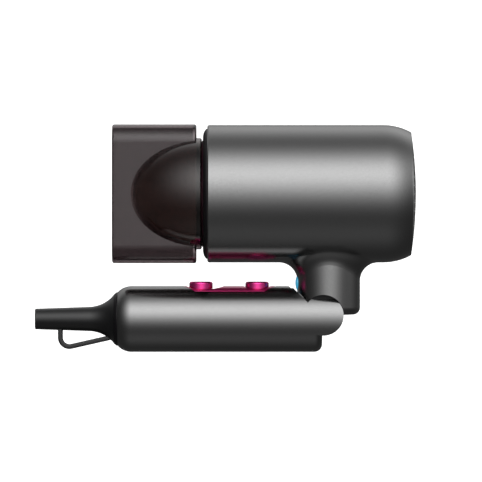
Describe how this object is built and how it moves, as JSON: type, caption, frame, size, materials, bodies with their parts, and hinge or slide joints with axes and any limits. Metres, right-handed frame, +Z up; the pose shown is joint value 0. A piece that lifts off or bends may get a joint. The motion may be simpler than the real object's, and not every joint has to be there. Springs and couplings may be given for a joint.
{
  "type": "folding hair dryer",
  "caption": "Folding hair dryer: round head, flat smoke-clear concentrator nozzle, folding handle with slider and push button, domed intake cap, rubber cord boot.",
  "frame": {"origin": "centre of the folded dryer's bounding box in X and Y, on the surface it stands on", "axes": "+X along the head from nozzle to intake, +Z up, -Y towards the side shown"},
  "size_m": [0.2104, 0.076, 0.1258],
  "materials": {
    "nickel_paint": "satin dark nickel metallic paint",
    "black_satin": "satin black moulded plastic",
    "plum_anodised": "dark plum lacquer",
    "dark_nylon": "heat-resistant nylon",
    "mica": "pressed mica sheet",
    "nichrome": "coiled resistance wire",
    "steel": "bright steel",
    "copper": "enamelled copper wire",
    "soft_rubber": "soft silicone rubber",
    "magnet": "nickel-plated magnet",
    "aluminium_fan": "machined aluminium",
    "steel_gauze": "woven steel gauze",
    "switch_plastic": "moulded electrical plastic",
    "lead_sleeve": "silicone-sleeved wire",
    "cyan_lens": "translucent cyan lens",
    "brass_bush": "turned brass",
    "magenta_gloss": "gloss metallic magenta lacquer",
    "board_green": "solder-masked board",
    "boot_rubber": "satin black rubber",
    "pink_button": "gloss metallic pink lacquer",
    "smoky_clear": "smoke-tinted clear plastic"
  },
  "bodies": {
    "head": {"barrel_shell": "nickel_paint", "front_bezel": "black_satin", "front_magnets": "magnet", "outlet_ring": "plum_anodised", "outlet_grille": "black_satin", "air_duct": "dark_nylon", "heat_shield": "mica", "mica_frame": "mica", "heating_coil": "nichrome", "thermal_cutout": "steel", "ion_emitter": "black_satin", "motor_housing": "dark_nylon", "motor_stator": "steel", "stator_coils": "copper", "motor_bearings": "steel", "motor_end_plate": "dark_nylon", "motor_mount": "soft_rubber", "intake_frame": "dark_nylon", "rear_magnets": "magnet", "intake_screws": "steel", "hinge_block": "black_satin", "hinge_screws": "steel", "clamp_plate": "steel", "hinge_pin": "steel", "detent_ball": "steel", "detent_spring": "steel", "cool_switch": "switch_plastic", "head_leads": "lead_sleeve"},
    "rotor": {"motor_shaft": "steel", "rotor_magnet": "magnet", "impeller": "aluminium_fan"},
    "intake_cap": {"rear_cover": "nickel_paint", "filter_mesh": "steel_gauze", "cover_latch_ring": "steel"},
    "nozzle_coupling": {"coupling_ring": "black_satin", "nozzle_magnets": "magnet"},
    "nozzle": {"nozzle_body": "smoky_clear"},
    "cool_button": {"cool_button": "cyan_lens"},
    "handle": {"handle_shell_left": "nickel_paint", "handle_shell_right": "nickel_paint", "hinge_bushes": "brass_bush", "fascia_plate": "magenta_gloss", "control_board": "board_green", "board_screws": "steel", "board_carrier": "dark_nylon", "board_components": "switch_plastic", "slide_switch": "switch_plastic", "temp_switch": "switch_plastic", "temp_spring": "steel", "end_ring": "black_satin", "cord_boot": "boot_rubber", "cord_clamp": "dark_nylon", "clamp_screws": "steel", "handle_leads": "lead_sleeve"},
    "power_slider": {"power_slider": "pink_button", "switch_lever": "switch_plastic"},
    "temp_button": {"temp_button": "pink_button"}
  },
  "joints": [
    {"name": "handle_fold", "type": "hinge", "parent": "head", "child": "handle", "pos_m": [0.0539, 0, 0.0203], "axis": [0, -1, 0], "range_deg": [0, 90]},
    {"name": "rotor_spin", "type": "hinge", "parent": "head", "child": "rotor", "pos_m": [0.06, 0, 0.0874], "axis": [1, 0, 0], "continuous": true},
    {"name": "intake_cap_pull", "type": "slide", "parent": "head", "child": "intake_cap", "axis": [1, 0, 0], "range_m": [0, 0.03]},
    {"name": "nozzle_pull", "type": "slide", "parent": "head", "child": "nozzle_coupling", "axis": [-1, 0, 0], "range_m": [0, 0.04]},
    {"name": "nozzle_turn", "type": "hinge", "parent": "nozzle_coupling", "child": "nozzle", "pos_m": [-0.03, 0, 0.0874], "axis": [1, 0, 0], "continuous": true},
    {"name": "cool_press", "type": "slide", "parent": "head", "child": "cool_button", "axis": [1, 0, 0], "range_m": [0, 0.0008], "stiffness_N_per_m": 800, "springref_m": -0.001},
    {"name": "power_slide", "type": "slide", "parent": "handle", "child": "power_slider", "axis": [1, 0, 0], "range_m": [0, 0.005]},
    {"name": "temp_press", "type": "slide", "parent": "handle", "child": "temp_button", "axis": [0, 0, -1], "range_m": [0, 0.0012], "stiffness_N_per_m": 600, "springref_m": -0.001}
  ]
}
